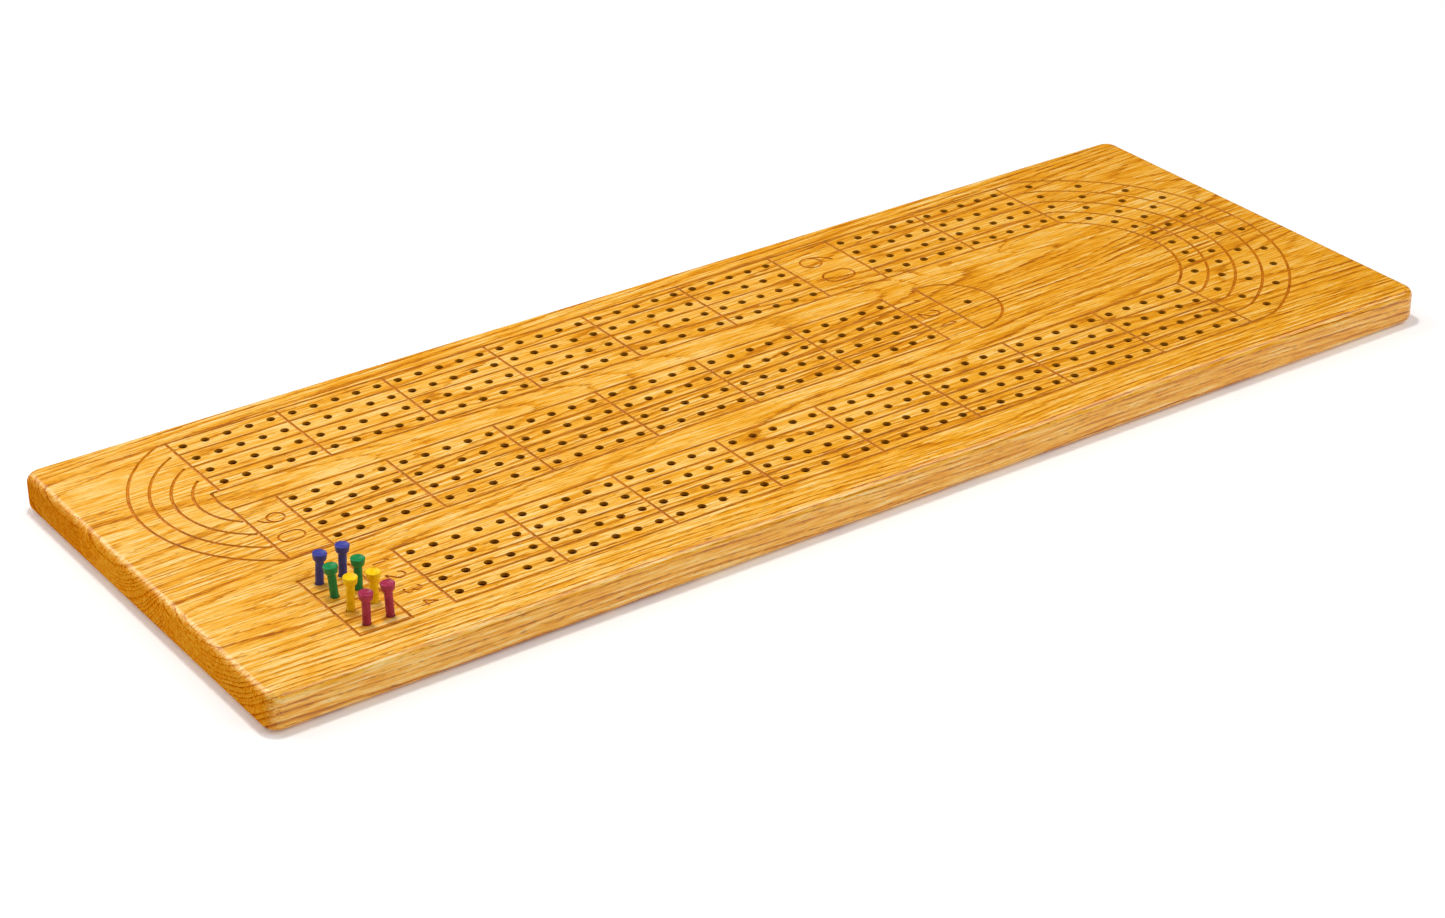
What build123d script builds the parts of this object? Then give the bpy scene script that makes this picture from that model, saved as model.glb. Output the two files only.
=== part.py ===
from build123d import *

import os
from math import asin, atan2, cos, degrees, radians, sin, sqrt, tan

# Four-lane cribbage board: three edge-glued oak boards and eight lift-out pegs.
# Frame: X along the board, +Y towards its back edge, +Z up, origin at the centre of the underside.
# Units: millimetres.

# ---- Panel ----------------------------------------------------------------------------------
board_length = 558.8
board_width = 203.2
board_thickness = 15.9
corner_radius = 6.6
edge_radius = 3.6
rear_glue_line_y = 49.7
front_glue_line_y = -19.5

# ---- Holes and lanes ------------------------------------------------------------------------
hole_radius = 1.8
hole_depth = 10.5
hole_pitch = 9.78
lane_pitch = 11.7
lane_count = 4
group_size = 5
track_y = 2.3
band_spacing = 62.45
rear_band_y = track_y + band_spacing
front_band_y = track_y - band_spacing
half_band = lane_count * lane_pitch / 2

# First hole of each straight run, and how many holes the run has.
rear_left_run = (-218.8, 30)
rear_right_run = (105.8, 10)
middle_run = (-203.4, 30)
front_run = (-187.8, 40)

# ---- Engraved lines: a tapered cutter with a flat tip ------------------------------------------
groove_width = 1.3
groove_floor = 0.7
groove_depth = 0.7
line_overrun = 0.45
stroke_width = 0.9
stroke_depth = 0.5

# ---- Boxes beside the runs -----------------------------------------------------------------------
start_box_x = (-232.4, -210.9)
skunk_box_left_x = -226.8
peg_columns_x = {"left": -226.4, "right": -216.6}

# ---- Finish: a half-round with one hole ----------------------------------------------------------
finish_x = 102.9
finish_hole_x = 113.9

# ---- Right-hand turn: concentric arcs carrying two groups of five holes in each lane --------------
turn_x = 173.3
turn_inner_radius = 46.7
turn_blend_step = 7.5
rear_turn_angles = (9.7, 22.1, 33.9, 48.2, 63.1)
front_turn_angles = (9.0, 23.2, 33.8, 46.7, 61.0)
lane_angle_shrink = 0.03
lane_angle_slip = 0.2

# ---- Left-hand turn: five arcs, no holes -----------------------------------------------------------
return_top_x = -226.6
return_bottom_x = -228.0
return_apex_x = -259.6
return_apex_step = 7.82

# ---- Numerals: lane numbers, hole counts at the two boxes and the number of the last hole -----------
# Digits, centre along X and Y, spacing along Y, width and height of one digit.
numerals = [
    ("1234", -200.6, front_band_y, lane_pitch, 4.6, 6.9),
    ("90", -217.8, track_y, 16.0, 7.0, 10.5),
    ("60", 85.4, rear_band_y, 17.0, 9.5, 15.0),
    ("121", 93.4, track_y, 12.5, 5.6, 8.8),
]

# ---- Pegs ------------------------------------------------------------------------------------------
peg_length = 22.2
head_radius = 2.8
rim_round = 0.4
dish_radius = head_radius - rim_round
dish_depth = 0.55
head_side_radius = 2.6
head_side_depth = 2.1
head_height = 3.4
shaft_radius = 1.62
shaft_taper_start = 13.0
tip_radius = 1.05
tip_round = 0.6
# Share of the sideways lean that shows at the mouth of the hole; the rest is taken at the peg's tip.
mouth_share = 0.15

# Colour, column, lane counted from the back, height above the board, lean along X and Y in degrees.
peg_places = [
    ("blue", "left", 0, 13.0, 3.2, -2.2),
    ("blue", "right", 0, 13.1, 1.9, -1.3),
    ("green", "left", 1, 13.1, -3.0, 2.1),
    ("green", "right", 1, 13.1, 1.6, -1.1),
    ("yellow", "left", 2, 14.1, 1.9, -1.3),
    ("yellow", "right", 2, 12.9, 1.0, -0.7),
    ("red", "left", 3, 13.2, 1.1, -0.7),
    ("red", "right", 3, 13.8, -1.2, 0.8),
]


def lane_y(band_y, lane):
    """Centre line of a lane, counted from the back of its band."""
    return band_y + half_band - (lane + 0.5) * lane_pitch


def line_y(band_y, line):
    """One of the five engraved lines along a band, counted from its back."""
    return band_y + half_band - line * lane_pitch


def run_holes(run, band_y):
    """Every hole of a straight run, in all four lanes."""
    first_x, count = run
    return [
        (first_x + n * hole_pitch, lane_y(band_y, lane), board_thickness)
        for n in range(count)
        for lane in range(lane_count)
    ]


def run_ends(run):
    """The two end dividers of a run, half a pitch outside its first and last holes."""
    first_x, count = run
    return first_x - hole_pitch / 2, first_x + (count - 0.5) * hole_pitch


def run_dividers(run):
    """Every divider of a run: both ends and one after each group of five holes."""
    start, _ = run_ends(run)
    return [start + n * group_size * hole_pitch for n in range(run[1] // group_size + 1)]


def turn_holes():
    """Holes of the right-hand turn; the angles close up slightly from the outer lane inwards."""
    places = []
    for lane in range(lane_count):
        radius = turn_inner_radius + (lane_count - lane - 0.5) * lane_pitch
        for side, angles in ((1, rear_turn_angles), (-1, front_turn_angles)):
            for outer_angle in angles:
                angle = outer_angle * (1 - lane_angle_shrink * lane) - lane_angle_slip * lane**2
                x = turn_x + radius * cos(radians(angle))
                y = track_y + side * radius * sin(radians(angle))
                places.append((x, y, board_thickness))
    return places


def groove_profile():
    """Cross-section of an engraved line, its top edge level with the sketch's origin."""
    half_top = groove_width / 2
    half_floor = groove_floor / 2
    Polygon(
        (-half_top, 0),
        (half_top, 0),
        (half_floor, -groove_depth),
        (-half_floor, -groove_depth),
        align=None,
    )


def cut_along_x(start, end, line_places):
    """Engraves parallel lines along X at the given Y values."""
    start_plane = Plane((start - line_overrun, 0, board_thickness), x_dir=(0, 1, 0), z_dir=(1, 0, 0))
    with BuildSketch(start_plane) as profile:
        with Locations(*[(y, 0) for y in line_places]):
            groove_profile()
    extrude(profile.sketch, amount=end - start + 2 * line_overrun, mode=Mode.SUBTRACT)


def cut_along_y(start, end, line_places):
    """Engraves parallel lines along Y at the given X values."""
    start_plane = Plane((0, start - line_overrun, board_thickness), x_dir=(-1, 0, 0), z_dir=(0, 1, 0))
    with BuildSketch(start_plane) as profile:
        with Locations(*[(-x, 0) for x in line_places]):
            groove_profile()
    extrude(profile.sketch, amount=end - start + 2 * line_overrun, mode=Mode.SUBTRACT)


def cut_arc(center, radius, start_angle, arc_size):
    """Engraves an arc about a vertical axis, anticlockwise from its start angle."""
    direction = (cos(radians(start_angle)), sin(radians(start_angle)), 0)
    start_plane = Plane(
        (center[0], center[1], board_thickness),
        x_dir=direction,
        z_dir=(direction[1], -direction[0], 0),
    )
    with BuildSketch(start_plane) as profile:
        with Locations((radius, 0)):
            groove_profile()
    revolve(
        profile.sketch,
        axis=Axis((center[0], center[1], 0), (0, 0, 1)),
        revolution_arc=arc_size,
        mode=Mode.SUBTRACT,
    )


def cut_turn_line(line):
    """One line of the right-hand turn, from the front band round to the rear band."""
    radius = turn_inner_radius + line * lane_pitch
    straight_y = band_spacing - half_band + line * lane_pitch
    blend = turn_blend_step * line
    blend_x = sqrt((radius - blend) ** 2 - (straight_y - blend) ** 2)
    meet_angle = degrees(atan2(straight_y - blend, blend_x))
    cut_arc((turn_x, track_y), radius, -meet_angle, 2 * meet_angle)
    if blend:
        straight_start = run_ends(front_run)[1]
        for side in (-1, 1):
            blend_center = (turn_x + blend_x, track_y + side * (straight_y - blend))
            start_angle = -90 if side < 0 else meet_angle
            cut_arc(blend_center, blend, start_angle, 90 - meet_angle)
            cut_along_x(straight_start, turn_x + blend_x, [track_y + side * straight_y])


def cut_return_line(line):
    """One arc of the left-hand turn, from a rear-band line to its partner in the middle band."""
    top = line_y(rear_band_y, line)
    bottom = line_y(track_y, lane_count - line)
    apex_x = return_apex_x + line * return_apex_step
    mid_y = (top + bottom) / 2
    half_chord = (top - bottom) / 2
    sagitta = (return_top_x + return_bottom_x) / 2 - apex_x
    radius = (half_chord**2 + sagitta**2) / (2 * sagitta)
    center_x = apex_x + radius
    top_angle = degrees(atan2(half_chord, return_top_x - center_x))
    bottom_angle = degrees(atan2(-half_chord, return_bottom_x - center_x)) + 360
    cut_arc((center_x, mid_y), radius, top_angle, bottom_angle - top_angle)


def cut_run(run, band_y):
    """Lane lines and group dividers of one straight run."""
    start, end = run_ends(run)
    cut_along_x(start, end, [line_y(band_y, line) for line in range(lane_count + 1)])
    cut_along_y(band_y - half_band, band_y + half_band, run_dividers(run))


def digit_lines(digit, x, y, width, height):
    """Single-stroke numeral centred on (x, y) in the reading frame of the active sketch."""
    half = width / 2
    top = y + height / 2
    bottom = y - height / 2
    if digit == "0":
        Line((x - half, bottom + half), (x - half, top - half))
        Line((x + half, bottom + half), (x + half, top - half))
        CenterArc((x, top - half), half, 0, 180)
        CenterArc((x, bottom + half), half, 180, 180)
    elif digit == "1":
        Line((x, bottom), (x, top))
        Line((x, top), (x - 0.7 * half, top - 0.2 * height))
    elif digit == "2":
        CenterArc((x, top - half), half, 170, -205)
        Line((x + half * cos(radians(35)), top - half - half * sin(radians(35))), (x - half, bottom))
        Line((x - half, bottom), (x + half, bottom))
    elif digit == "3":
        CenterArc((x, y + height / 4), height / 4, 150, -240)
        CenterArc((x, y - height / 4), height / 4, 90, -240)
    elif digit == "4":
        Line((x + 0.4 * half, bottom), (x + 0.4 * half, top))
        Line((x + 0.4 * half, top), (x - half, y - 0.15 * height))
        Line((x - half, y - 0.15 * height), (x + half, y - 0.15 * height))
    elif digit == "6":
        CenterArc((x, bottom + half), half, 0, 360)
        ThreePointArc((x - half, bottom + half), (x - 0.62 * half, y + 0.22 * height), (x + 0.5 * half, top))
    elif digit == "9":
        CenterArc((x, top - half), half, 0, 360)
        ThreePointArc((x + half, top - half), (x + 0.62 * half, y - 0.22 * height), (x - 0.5 * half, bottom))


def engrave_number(digits, center_x, center_y, spacing, width, height):
    """Engraves numerals that read from the back of the board to its front, tops towards +X."""
    reading_plane = Plane((0, 0, board_thickness), x_dir=(0, -1, 0), z_dir=(0, 0, 1))
    first = -center_y - spacing * (len(digits) - 1) / 2
    with BuildSketch(reading_plane) as number:
        for place, digit in enumerate(digits):
            with BuildLine() as strokes:
                digit_lines(digit, first + place * spacing, center_x, width, height)
            for stroke in strokes.edges():
                trace(stroke, line_width=stroke_width)
    extrude(number.sketch, amount=-stroke_depth, mode=Mode.SUBTRACT)


with BuildPart() as panel:
    with BuildSketch():
        RectangleRounded(board_length, board_width, corner_radius)
    extrude(amount=board_thickness)
    fillet(faces().sort_by(Axis.Z)[-1].edges(), radius=edge_radius)
    fillet(faces().sort_by(Axis.Z)[0].edges(), radius=edge_radius)

    # Straight runs of lane lines and dividers.
    cut_run(front_run, front_band_y)
    cut_run(middle_run, track_y)
    cut_run(rear_left_run, rear_band_y)
    cut_run(rear_right_run, rear_band_y)

    # The gap in the rear band is boxed in by its two outer lines.
    rear_edges = [line_y(rear_band_y, 0), line_y(rear_band_y, lane_count)]
    cut_along_x(run_ends(rear_left_run)[1], run_ends(rear_right_run)[0], rear_edges)

    # Box at the left of the middle band.
    middle_edges = [line_y(track_y, 0), line_y(track_y, lane_count)]
    cut_along_x(skunk_box_left_x, run_ends(middle_run)[0], middle_edges)
    cut_along_y(track_y - half_band, track_y + half_band, [skunk_box_left_x])

    # Start box with its three lane dividers.
    cut_along_x(*start_box_x, [line_y(front_band_y, line) for line in range(lane_count + 1)])
    cut_along_y(front_band_y - half_band, front_band_y + half_band, start_box_x)

    # Finish: a straight line closed by a half circle.
    cut_along_y(track_y - half_band, track_y + half_band, [finish_x])
    cut_arc((finish_x, track_y), half_band, -90, 180)

    # Right-hand turn, and the divider across its middle.
    for line_number in range(lane_count + 1):
        cut_turn_line(line_number)
    turn_outer_radius = turn_inner_radius + lane_count * lane_pitch
    cut_along_x(turn_x + turn_inner_radius, turn_x + turn_outer_radius, [track_y])

    # Left-hand turn, with short stubs joining its outer and inner arcs to the rear band.
    for line_number in range(lane_count + 1):
        cut_return_line(line_number)
    cut_along_x(return_top_x, run_ends(rear_left_run)[0], rear_edges)

    for numeral in numerals:
        engrave_number(*numeral)

    # Blind peg holes.
    hole_places = run_holes(front_run, front_band_y) + run_holes(middle_run, track_y)
    hole_places += run_holes(rear_left_run, rear_band_y) + run_holes(rear_right_run, rear_band_y)
    hole_places += turn_holes()
    hole_places += [(finish_hole_x, track_y, board_thickness)]
    hole_places += [
        (column_x, lane_y(front_band_y, lane), board_thickness)
        for column_x in peg_columns_x.values()
        for lane in range(lane_count)
    ]
    with Locations(*hole_places):
        Hole(radius=hole_radius, depth=hole_depth)

rear_glue_plane = Plane((0, rear_glue_line_y, 0), z_dir=(0, 1, 0))
front_glue_plane = Plane((0, front_glue_line_y, 0), z_dir=(0, 1, 0))

with BuildPart() as rear_board:
    add(panel.part)
    split(bisect_by=rear_glue_plane, keep=Keep.TOP)

with BuildPart() as middle_board:
    add(panel.part)
    split(bisect_by=rear_glue_plane, keep=Keep.BOTTOM)
    split(bisect_by=front_glue_plane, keep=Keep.TOP)

with BuildPart() as front_board:
    add(panel.part)
    split(bisect_by=front_glue_plane, keep=Keep.BOTTOM)

os.makedirs("parts", exist_ok=True)
rear_board.part.label = "rear_board"
export_step(rear_board.part, "parts/rear_board.step")
middle_board.part.label = "middle_board"
export_step(middle_board.part, "parts/middle_board.step")
front_board.part.label = "front_board"
export_step(front_board.part, "parts/front_board.step")


def peg_plane(column, lane, proud, lean_x, lean_y):
    """Plane at the top of a leaning peg's head; its normal is the peg's axis, pointing up."""
    slope_x = tan(radians(lean_x))
    slope_y = tan(radians(lean_y))
    buried = peg_length - proud
    mouth_x = peg_columns_x[column] + slope_x * buried * mouth_share
    mouth_y = lane_y(front_band_y, lane) + slope_y * buried * mouth_share
    top = (mouth_x + slope_x * proud, mouth_y + slope_y * proud, board_thickness + proud)
    return Plane(top, x_dir=(1, 0, -slope_x), z_dir=(slope_x, slope_y, 1))


def cap_arc(start_y, cap_radius, rise):
    """Arc of a spherical cap, from its pole on the peg's axis out to its rim."""
    sphere_radius = (cap_radius**2 + rise**2) / (2 * rise)
    JernArc((0, start_y), (1, 0), sphere_radius, degrees(asin(cap_radius / sphere_radius)))


def make_peg(colour, column, lane, proud, lean_x, lean_y):
    """A moulded peg: dished drum head rounded in underneath, straight shaft, tapered buried end."""
    head_plane = peg_plane(column, lane, proud, lean_x, lean_y)
    profile_plane = Plane(head_plane.origin, x_dir=head_plane.x_dir, z_dir=-head_plane.y_dir)
    with BuildPart() as peg:
        with BuildSketch(profile_plane):
            with BuildLine():
                Line((0, -peg_length), (0, -dish_depth))
                cap_arc(-dish_depth, dish_radius, dish_depth)
                CenterArc((dish_radius, -rim_round), rim_round, 0, 90)
                Line((head_radius, -rim_round), (head_side_radius, -head_side_depth))
                TangentArc(
                    (head_side_radius, -head_side_depth),
                    (shaft_radius, -head_height),
                    tangent=(0, -1),
                )
                Line((shaft_radius, -head_height), (shaft_radius, -shaft_taper_start))
                Line((shaft_radius, -shaft_taper_start), (tip_radius, -peg_length + tip_round))
                cap_arc(-peg_length, tip_radius, tip_round)
            make_face()
        revolve(axis=Axis(head_plane.origin, head_plane.z_dir))
    return peg


for place in peg_places:
    peg_name = f"peg_{place[0]}_{place[1]}"
    peg = make_peg(*place)
    peg.part.label = peg_name
    export_step(peg.part, f"parts/{peg_name}.step")
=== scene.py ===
import math

import bpy
from mathutils import Matrix, Vector


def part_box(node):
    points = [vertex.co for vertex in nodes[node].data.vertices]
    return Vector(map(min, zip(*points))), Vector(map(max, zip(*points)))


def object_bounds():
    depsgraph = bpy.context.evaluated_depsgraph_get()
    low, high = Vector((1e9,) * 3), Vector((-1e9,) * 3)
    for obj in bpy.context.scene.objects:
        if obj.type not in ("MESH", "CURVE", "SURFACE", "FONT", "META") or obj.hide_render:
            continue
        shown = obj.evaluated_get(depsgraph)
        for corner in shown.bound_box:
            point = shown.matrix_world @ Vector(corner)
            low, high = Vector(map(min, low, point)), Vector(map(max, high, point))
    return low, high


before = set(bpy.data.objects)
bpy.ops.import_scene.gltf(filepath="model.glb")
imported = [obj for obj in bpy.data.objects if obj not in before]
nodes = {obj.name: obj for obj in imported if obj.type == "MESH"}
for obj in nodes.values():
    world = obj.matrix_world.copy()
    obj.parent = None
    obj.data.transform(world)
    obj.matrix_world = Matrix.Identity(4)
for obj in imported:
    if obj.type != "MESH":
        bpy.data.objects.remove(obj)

cad_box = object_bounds()

# The material recipes work in millimetres, and the rest of the script in metres.
MM = 1000.0

# Grooves, numerals and holes all lie inside these half lengths, and between these two heights.
TOP_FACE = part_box("middle_board")[1][2] * MM
CUT_HALF_LENGTH = cad_box[1][0] * MM - 9.4
CUT_HALF_WIDTH = cad_box[1][1] * MM - 9.6
CUT_HIGHEST = TOP_FACE - 0.04
CUT_LOWEST = 2.0

# A cut takes the groove's colours down to GROOVE_LOWEST, and the hole's below that. The hole's colour
# is painted shade, light at the first of the two heights below and dark at the second, so it is
# already part way to dark where it first shows.
GROOVE_LOWEST = TOP_FACE - 0.8
HOLE_SHADE_STARTS = TOP_FACE - 0.3
HOLE_SHADE_FULL = TOP_FACE - 1.6


class Tree:
    """Short names for building a node tree. Most calls add one node and return its output socket."""

    def __init__(self, tree):
        self.tree = tree

    def node(self, kind, **settings):
        made = self.tree.nodes.new(kind)
        for key, value in settings.items():
            setattr(made, key, value)
        return made

    def feed(self, socket, value):
        if isinstance(value, bpy.types.NodeSocket):
            self.tree.links.new(value, socket)
        elif value is not None:
            socket.default_value = value

    def math(self, operation, a, b=None, c=None, clamp=False):
        made = self.node("ShaderNodeMath", operation=operation, use_clamp=clamp)
        for socket, value in zip(made.inputs, (a, b, c)):
            self.feed(socket, value)
        return made.outputs[0]

    def total(self, *values):
        result = values[0]
        for value in values[1:]:
            result = self.math("ADD", result, value)
        return result

    def centred(self, value, size):
        """A noise value of 0 to 1, made to swing by size about zero."""
        return self.math("MULTIPLY", self.math("SUBTRACT", value, 0.5), size)

    def vector(self, operation, a, b=None):
        made = self.node("ShaderNodeVectorMath", operation=operation)
        for socket, value in zip(made.inputs, (a, b)):
            self.feed(socket, value)
        return made.outputs[0]

    def length(self, vector):
        made = self.node("ShaderNodeVectorMath", operation="LENGTH")
        self.feed(made.inputs[0], vector)
        return made.outputs["Value"]

    def millimetres(self):
        """The point being shaded, in the object's own frame."""
        made = self.node("ShaderNodeVectorMath", operation="SCALE")
        self.feed(made.inputs[0], self.node("ShaderNodeTexCoord").outputs["Object"])
        made.inputs["Scale"].default_value = MM
        return made.outputs[0]

    def combine(self, x, y, z):
        made = self.node("ShaderNodeCombineXYZ")
        for socket, value in zip(made.inputs, (x, y, z)):
            self.feed(socket, value)
        return made.outputs[0]

    def separate(self, value):
        made = self.node("ShaderNodeSeparateXYZ")
        self.feed(made.inputs[0], value)
        return made.outputs[0], made.outputs[1], made.outputs[2]

    def noise(self, vector, scale=1.0, detail=2.0, roughness=0.5, distortion=0.0):
        made = self.node("ShaderNodeTexNoise")
        self.feed(made.inputs["Vector"], vector)
        made.inputs["Scale"].default_value = scale
        made.inputs["Detail"].default_value = detail
        made.inputs["Roughness"].default_value = roughness
        made.inputs["Distortion"].default_value = distortion
        return made.outputs["Fac"]

    def white(self, value):
        made = self.node("ShaderNodeTexWhiteNoise", noise_dimensions="1D")
        self.feed(made.inputs["W"], value)
        return made.outputs["Value"]

    def remap(self, value, low, high, to_low=0.0, to_high=1.0, smooth=False):
        made = self.node("ShaderNodeMapRange")
        if smooth:
            made.interpolation_type = "SMOOTHSTEP"
        for socket, item in zip(made.inputs, (value, low, high, to_low, to_high)):
            self.feed(socket, item)
        return made.outputs[0]

    def ramp(self, value, stops):
        made = self.node("ShaderNodeValToRGB")
        self.feed(made.inputs[0], value)
        elements = made.color_ramp.elements
        while len(elements) < len(stops):
            elements.new(0.5)
        for element, (place, colour) in zip(elements, stops):
            element.position = place
            if isinstance(colour, float):
                colour = (colour, colour, colour)
            element.color = (*colour, 1.0)
        return made.outputs[0]

    def mix(self, fraction, a, b, blend="MIX"):
        made = self.node("ShaderNodeMix", data_type="RGBA", blend_type=blend)
        made.clamp_factor = True
        for socket, value in ((made.inputs[0], fraction), (made.inputs[6], a), (made.inputs[7], b)):
            if isinstance(value, tuple):
                value = (*value, 1.0)
            self.feed(socket, value)
        return made.outputs[2]

    def bump(self, height, strength, distance, normal=None):
        """A bumped normal; distance is in metres."""
        made = self.node("ShaderNodeBump")
        made.inputs["Strength"].default_value = strength
        made.inputs["Distance"].default_value = distance
        self.feed(made.inputs["Height"], height)
        self.feed(made.inputs["Normal"], normal)
        return made.outputs[0]


def new_material(name):
    material = bpy.data.materials.new(name)
    material.use_nodes = True
    material.node_tree.nodes.clear()
    return material, Tree(material.node_tree)


def finish_surface(t, **inputs):
    """Adds the output and a Principled shader whose inputs are given by name, with _ for a space."""
    shader = t.node("ShaderNodeBsdfPrincipled")
    for key, value in inputs.items():
        t.feed(shader.inputs[key.replace("_", " ")], value)
    output = t.node("ShaderNodeOutputMaterial")
    t.tree.links.new(shader.outputs[0], output.inputs["Surface"])


# Wood: one recipe cut from three different logs.

class Grain:
    """The point being shaded on one board, and noise drawn out along that board's grain."""

    def __init__(self, t, seed):
        self.t = t
        self.place = t.millimetres()
        self.x, self.y, self.z = t.separate(self.place)
        self.shift = (seed * 37.1, seed * 11.7, seed * 5.3)

    def stretched(self, long, wide, detail=2.0, roughness=0.5, extra=0.0):
        """Noise in lumps long millimetres along the grain and wide millimetres across it."""
        scaled = self.t.vector("MULTIPLY", self.place, (1 / long, 1 / wide, 1 / wide))
        moved = self.t.vector("ADD", scaled, tuple(s + extra for s in self.shift))
        return self.t.noise(moved, 1.0, detail, roughness)


def early_wood(t, grain, pith_y, pith_z, lean, spacing, seed, swirls):
    """How strongly each ring's porous early wood shows.

    The rings circle a leaning pith outside the board, pushed about so that none is a true circle.
    Each swirl is a local bulge in them.
    """
    across = t.math("SUBTRACT", grain.y, t.math("MULTIPLY_ADD", grain.x, lean[0], pith_y))
    across = t.math("ADD", across, t.centred(grain.stretched(190.0, 70.0, 1.0, extra=3.1), 9.0))
    up = t.math("SUBTRACT", grain.z, t.math("MULTIPLY_ADD", grain.x, lean[1], pith_z))
    up = t.math("ADD", up, t.centred(grain.stretched(130.0, 80.0, 1.0, extra=7.7), 4.0))
    radius = t.length(t.combine(across, up, 0.0))
    for swirl_x, swirl_y, long, wide, size in swirls:
        far_x = t.math("DIVIDE", t.math("SUBTRACT", grain.x, swirl_x), long)
        far_y = t.math("DIVIDE", t.math("SUBTRACT", grain.y, swirl_y), wide)
        square = t.math("ADD", t.math("MULTIPLY", far_x, far_x), t.math("MULTIPLY", far_y, far_y))
        bulge = t.math("MULTIPLY", t.math("EXPONENT", t.math("MULTIPLY", square, -1.0)), size)
        radius = t.math("ADD", radius, bulge)
    wave = t.centred(grain.stretched(40.0, 9.0, 2.0, extra=1.3), 1.2)
    ripple = t.centred(grain.stretched(7.0, 1.1, 2.0, 0.6, extra=9.1), 0.7)
    rings = t.math("DIVIDE", t.total(radius, wave, ripple), spacing)
    uneven = t.noise(t.combine(t.math("MULTIPLY", rings, 0.23), seed, 0.0), 1.0, 2.0)
    rings = t.math("ADD", rings, t.centred(uneven, 5.0))

    # Straight under the pith a ring lies flat in the face, where its early wood is thinner and paler.
    slant = t.math("DIVIDE", t.math("ABSOLUTE", across), radius)
    within_ring = t.math("DIVIDE", t.math("FRACT", rings), t.remap(slant, 0.0, 0.40, 0.40, 1.0))
    early = t.ramp(within_ring, [
        (0.0, 0.0),
        (0.05, 1.0),
        (0.20, 0.85),
        (0.34, 0.30),
        (0.60, 0.06),
        (1.0, 0.0),
    ])
    ring_number = t.math("FLOOR", rings)
    strength = t.remap(t.white(t.math("ADD", ring_number, seed)), 0.0, 1.0, 0.45, 1.1)
    patchy = t.remap(grain.stretched(24.0, 2.0, 3.0, 0.6, extra=4.4), 0.35, 0.65, 0.45, 1.15)
    early = t.math("MULTIPLY", t.math("MULTIPLY", early, strength), patchy)
    return t.math("MULTIPLY", early, t.remap(slant, 0.0, 0.30, 0.60, 1.0))


def open_pores(t, grain, early):
    """Short dark dashes, most of them in the early wood."""
    threshold = t.remap(t.remap(early, 0.05, 0.5), 0.0, 1.0, 0.64, 0.50)
    pore = t.math("SUBTRACT", grain.stretched(4.2, 0.28, 1.0, 0.5, extra=8.2), threshold)
    return t.math("MULTIPLY", pore, 11.0, clamp=True)


def wood_colour(t, grain, early, fibre, pore, tint):
    """Rings, fine streaks and broad clouds in one tone, deeper towards +X, then the pores."""
    hair = grain.stretched(9.0, 0.30, 2.0, 0.6, extra=18.4)
    streak = grain.stretched(48.0, 1.5, 3.0, 0.6, extra=5.9)
    cloud = grain.stretched(170.0, 26.0, 2.0, extra=6.6)
    tone = t.total(
        t.math("MULTIPLY", early, 0.64),
        t.centred(fibre, 1.55),
        t.centred(hair, 0.60),
        t.centred(streak, 0.65),
        t.centred(cloud, 0.30),
        t.math("MULTIPLY_ADD", grain.x, 0.00025, 0.27),
    )
    colour = t.ramp(t.math("ADD", tone, 0.0, clamp=True), [
        (0.0, (0.985, 0.700, 0.270)),
        (0.20, (0.965, 0.520, 0.075)),
        (0.42, (0.880, 0.370, 0.007)),
        (0.68, (0.690, 0.230, 0.001)),
        (1.0, (0.430, 0.110, 0.000)),
    ])
    colour = t.mix(t.math("MULTIPLY", pore, 0.70), colour, (0.330, 0.085, 0.001))
    return t.mix(1.0, colour, tint, "MULTIPLY")


def inside_cut(t, grain):
    """1 in a groove, a numeral or a hole, and 0 on the board's own faces."""
    inside_x = t.math("LESS_THAN", t.math("ABSOLUTE", grain.x), CUT_HALF_LENGTH)
    inside_y = t.math("LESS_THAN", t.math("ABSOLUTE", grain.y), CUT_HALF_WIDTH)
    below = t.math("LESS_THAN", grain.z, CUT_HIGHEST)
    above = t.math("GREATER_THAN", grain.z, CUT_LOWEST)
    return t.math("MULTIPLY", t.math("MULTIPLY", inside_x, inside_y), t.math("MULTIPLY", below, above))


def cut_colour(t, grain, wood, normal_z):
    """Grooves darkened partly by scorch and pooled finish and partly by painted shade, and holes
    painted with shade that deepens with depth.
    """
    scorch = t.remap(grain.stretched(6.0, 5.0, 3.0, extra=12.0), 0.3, 0.7)
    # Painted shade: groove floors and steeper walls are darkened, partly for scorch and pooled finish
    # and partly as shade in the recess.
    groove_floor_pooling_and_shade = t.mix(1.0, wood, (0.78, 0.54, 0.18), "MULTIPLY")
    groove_wall_scorch_and_shade = t.mix(scorch, (0.760, 0.310, 0.006), (0.480, 0.170, 0.001))
    groove = t.mix(t.remap(normal_z, 0.5, 0.95, 1.0, 0.0), groove_floor_pooling_and_shade, groove_wall_scorch_and_shade)
    # Painted shade: the hole's colour runs from a lit orange near the top to dark brown deeper down.
    hole_shade = t.remap(grain.z, HOLE_SHADE_STARTS, HOLE_SHADE_FULL)
    hole = t.mix(hole_shade, (1.000, 0.500, 0.020), (0.240, 0.045, 0.006))
    return t.mix(t.math("GREATER_THAN", grain.z, GROOVE_LOWEST), hole, groove)


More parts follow.
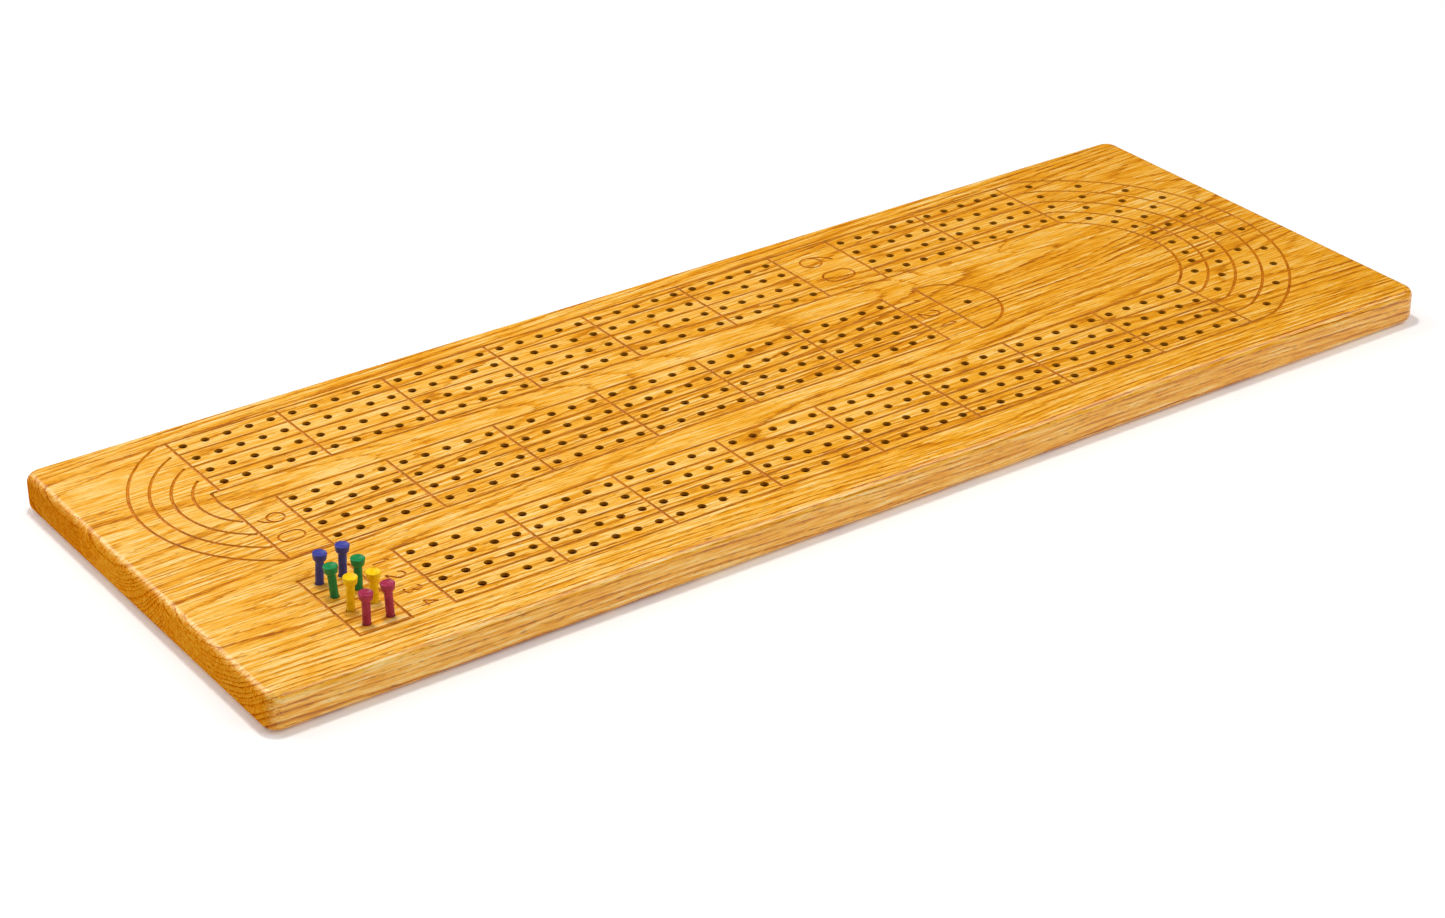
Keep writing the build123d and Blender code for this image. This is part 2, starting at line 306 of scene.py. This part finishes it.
def oak(name, pith_y, pith_z, lean, spacing, seed, swirls, tint, end_tint):
    """Flat-sawn oak under a gloss varnish that sinks a little into the pores."""
    material, t = new_material(name)
    grain = Grain(t, seed)
    early = early_wood(t, grain, pith_y, pith_z, lean, spacing, seed, swirls)
    fibre = grain.stretched(20.0, 0.85, 2.0, 0.6, extra=2.2)
    pore = open_pores(t, grain, early)
    colour = wood_colour(t, grain, early, fibre, pore, tint)

    # End grain drinks the finish, so both ends are deeper in colour and duller.
    normal_x, _, normal_z = t.separate(t.node("ShaderNodeNewGeometry").outputs["Normal"])
    cut = inside_cut(t, grain)
    end_grain = t.remap(t.math("ABSOLUTE", normal_x), 0.30, 0.95, smooth=True)
    end_grain = t.math("MULTIPLY", end_grain, t.math("SUBTRACT", 1.0, cut))
    colour = t.mix(end_grain, colour, t.mix(1.0, colour, end_tint, "MULTIPLY"))
    colour = t.mix(cut, colour, cut_colour(t, grain, colour, normal_z))

    relief = t.total(
        t.math("MULTIPLY", pore, -0.8),
        t.math("MULTIPLY", fibre, 0.5),
        t.math("MULTIPLY", early, -0.3),
    )
    film = t.total(grain.stretched(14.0, 1.6, 2.0, extra=15.0), t.math("MULTIPLY", pore, -0.5))
    rounded = t.node("ShaderNodeBevel", samples=4)
    rounded.inputs["Radius"].default_value = 0.0004
    finish_surface(
        t,
        Base_Color=colour,
        Roughness=t.remap(early, 0.0, 1.0, 0.45, 0.60),
        Specular_IOR_Level=t.remap(end_grain, 0.0, 1.0, 0.12, 0.0),
        Normal=t.bump(relief, strength=0.5, distance=0.00008),
        Coat_Weight=t.remap(end_grain, 0.0, 1.0, 0.80, 0.0),
        Coat_Roughness=t.remap(grain.stretched(60.0, 12.0, 2.0, extra=13.0), 0.3, 0.7, 0.10, 0.20),
        Coat_Normal=t.bump(film, strength=0.4, distance=0.00005, normal=rounded.outputs[0]),
    )
    return material


def plastic(name, colour, seed):
    """Moulded plastic: a clean gloss with the faint clouding and orange peel of a small moulding."""
    material, t = new_material(name)
    place = t.vector("ADD", t.millimetres(), (seed, seed * 2.0, seed * 3.0))
    swirl = t.noise(place, 0.35, 3.0, 0.6, 0.6)
    peel = t.noise(place, 2.2, 2.0, 0.5)
    dark = tuple(c * 0.86 for c in colour)
    light = tuple(min(1.0, c * 1.12 + 0.006) for c in colour)
    finish_surface(
        t,
        Base_Color=t.mix(t.remap(swirl, 0.35, 0.65), dark, light),
        Roughness=t.remap(swirl, 0.3, 0.7, 0.24, 0.36),
        Specular_IOR_Level=0.28,
        Subsurface_Weight=0.06,
        Subsurface_Radius=(0.6, 0.6, 0.6),
        Subsurface_Scale=0.0008,
        Normal=t.bump(peel, strength=0.20, distance=0.00008),
    )
    return material


# Each board's log. A swirl is its x, y, length, width and the bulge it makes in the rings.
BOARDS = {
    "front_board": dict(
        pith_y=-43.0, pith_z=76.0, lean=(0.004, -0.028), spacing=1.95, seed=1.0,
        swirls=[(45.0, -93.0, 46.0, 8.0, -5.0)],
        tint=(1.0, 1.0, 1.0), end_tint=(0.84, 0.58, 0.13)),
    "middle_board": dict(
        pith_y=30.0, pith_z=62.0, lean=(0.010, 0.050), spacing=1.85, seed=2.0,
        swirls=[(178.0, 33.0, 22.0, 6.0, 4.0), (128.0, 36.0, 16.0, 6.0, 2.6)],
        tint=(0.990, 0.975, 0.93), end_tint=(0.84, 0.58, 0.13)),
    "rear_board": dict(
        pith_y=64.0, pith_z=70.0, lean=(0.004, -0.026), spacing=2.0, seed=3.0,
        swirls=[(-30.0, 64.0, 30.0, 7.0, 1.5)],
        tint=(0.985, 0.955, 0.86), end_tint=(0.74, 0.47, 0.09)),
}
PEGS = {
    "blue": (0.052, 0.058, 0.300),
    "green": (0.010, 0.250, 0.065),
    "yellow": (1.000, 0.600, 0.000),
    "red": (0.390, 0.028, 0.075),
}


def dress(node, material):
    for material_slot in node.material_slots:
        material_slot.material = material


for board, recipe in BOARDS.items():
    dress(nodes[board], oak(board + "_oak", **recipe))
for order, (colour_name, colour) in enumerate(PEGS.items()):
    material = plastic(colour_name + "_plastic", colour, 3.0 + order)
    for side in ("left", "right"):
        dress(nodes[f"peg_{colour_name}_{side}"], material)


# Stage: a pale floor, a surround that the camera sees as white, one small lamp overhead and two
# soft boxes, one behind the board's left end and one in front of its right end.

FLOOR_HALF_SIZE = 12.0
FLOOR_GAP = 0.0002
GLOW_STARTS = 0.8
GLOW_IS_FULL = 4.0


def make_floor():
    """A sheet just under the board. It glows more with distance, so that it fades into the white."""
    far = FLOOR_HALF_SIZE
    mesh = bpy.data.meshes.new("floor")
    corners = [(-far, -far, 0.0), (far, -far, 0.0), (far, far, 0.0), (-far, far, 0.0)]
    mesh.from_pydata(corners, [], [(0, 1, 2, 3)])
    floor = bpy.data.objects.new("floor", mesh)
    floor.location.z = -FLOOR_GAP
    bpy.context.scene.collection.objects.link(floor)
    material, t = new_material("floor_paper")
    place = t.node("ShaderNodeTexCoord").outputs["Object"]
    finish_surface(
        t,
        Base_Color=t.mix(t.noise(place, 3.0, 3.0), (0.90, 0.90, 0.90), (0.925, 0.922, 0.918)),
        Roughness=0.9,
        Specular_IOR_Level=0.1,
        Emission_Color=(1.0, 1.0, 1.0, 1.0),
        Emission_Strength=t.remap(t.length(place), GLOW_STARTS, GLOW_IS_FULL, 0.12, 0.95),
    )
    floor.data.materials.append(material)


def make_world():
    """White to the camera and an even grey to diffuse rays. Reflections brighten upwards and to -X."""
    world = bpy.data.worlds.new("tent")
    world.use_nodes = True
    t = Tree(world.node_tree)
    world.node_tree.nodes.clear()
    world.cycles.sampling_method = "NONE"
    east, _, height = t.separate(t.node("ShaderNodeTexCoord").outputs["Generated"])
    height = t.math("MULTIPLY_ADD", east, -0.35, height)
    mirrored = t.ramp(height, [(0.0, 0.01), (0.30, 0.02), (0.50, 0.18), (0.70, 0.45), (0.9, 0.60)])
    path = t.node("ShaderNodeLightPath")
    shown = t.mix(path.outputs["Is Diffuse Ray"], mirrored, (0.26, 0.26, 0.26))
    shown = t.mix(path.outputs["Is Camera Ray"], shown, (1.0, 1.0, 1.0))
    background = t.node("ShaderNodeBackground")
    t.feed(background.inputs["Color"], shown)
    output = t.node("ShaderNodeOutputWorld")
    t.tree.links.new(background.outputs[0], output.inputs["Surface"])
    bpy.context.scene.world = world


def add_area_light(name, energy, towards, distance, target=(0.0, 0.0, 0.01), **settings):
    """A lamp that shines on target from distance metres away, in the direction towards."""
    data = bpy.data.lights.new(name, "AREA")
    data.energy = energy
    for key, value in settings.items():
        setattr(data, key, value)
    lamp = bpy.data.objects.new(name, data)
    direction = Vector(towards).normalized()
    lamp.location = Vector(target) + direction * distance
    lamp.rotation_mode = "QUATERNION"
    lamp.rotation_quaternion = direction.to_track_quat("Z", "Y")
    bpy.context.scene.collection.objects.link(lamp)
    return lamp


def compass(azimuth, elevation):
    """A direction: azimuth from +Y towards +X, elevation above the floor, in degrees."""
    a, e = math.radians(azimuth), math.radians(elevation)
    return (math.sin(a) * math.cos(e), math.cos(a) * math.cos(e), math.sin(e))


make_floor()
make_world()
key = add_area_light(
    "key", 9.1, (0.10, 0.17, 1.0), distance=1.4, target=(-0.22, -0.06, 0.016), shape="DISK", size=0.20)
add_area_light(
    "soft_box", 6.4, compass(-32.0, 44.0), distance=1.3, shape="RECTANGLE", size=1.2, size_y=0.75)
add_area_light(
    "fill", 25.0, compass(134.0, 46.0), distance=2.6, shape="RECTANGLE", size=1.95, size_y=1.46)

# Seen from straight above, the key's mirror image would burn out the varnish.
key.visible_glossy = False


# Camera: to the front left of the board. Its heading is from +Y towards +X.

CAMERA_PLACE = (-0.6911, -0.9707, 0.6247)
CAMERA_HEADING = 34.80
CAMERA_DROP = 28.54
CAMERA_ROLL = -0.558

camera_data = bpy.data.cameras.new("camera")
camera = bpy.data.objects.new("camera", camera_data)
bpy.context.scene.collection.objects.link(camera)
camera_data.sensor_width = 36.0
camera_data.lens = 81.19
camera_data.clip_start = 0.05
camera_data.clip_end = 60.0
camera.location = CAMERA_PLACE
turn = Matrix.Rotation(math.radians(-CAMERA_HEADING), 4, "Z")
tip = Matrix.Rotation(math.radians(90.0 - CAMERA_DROP), 4, "X")
roll = Matrix.Rotation(math.radians(CAMERA_ROLL), 4, "Z")
camera.rotation_mode = "QUATERNION"
camera.rotation_quaternion = (turn @ tip @ roll).to_quaternion()
bpy.context.scene.camera = camera
bpy.context.scene.view_settings.view_transform = "Standard"
bpy.context.scene.view_settings.look = "None"
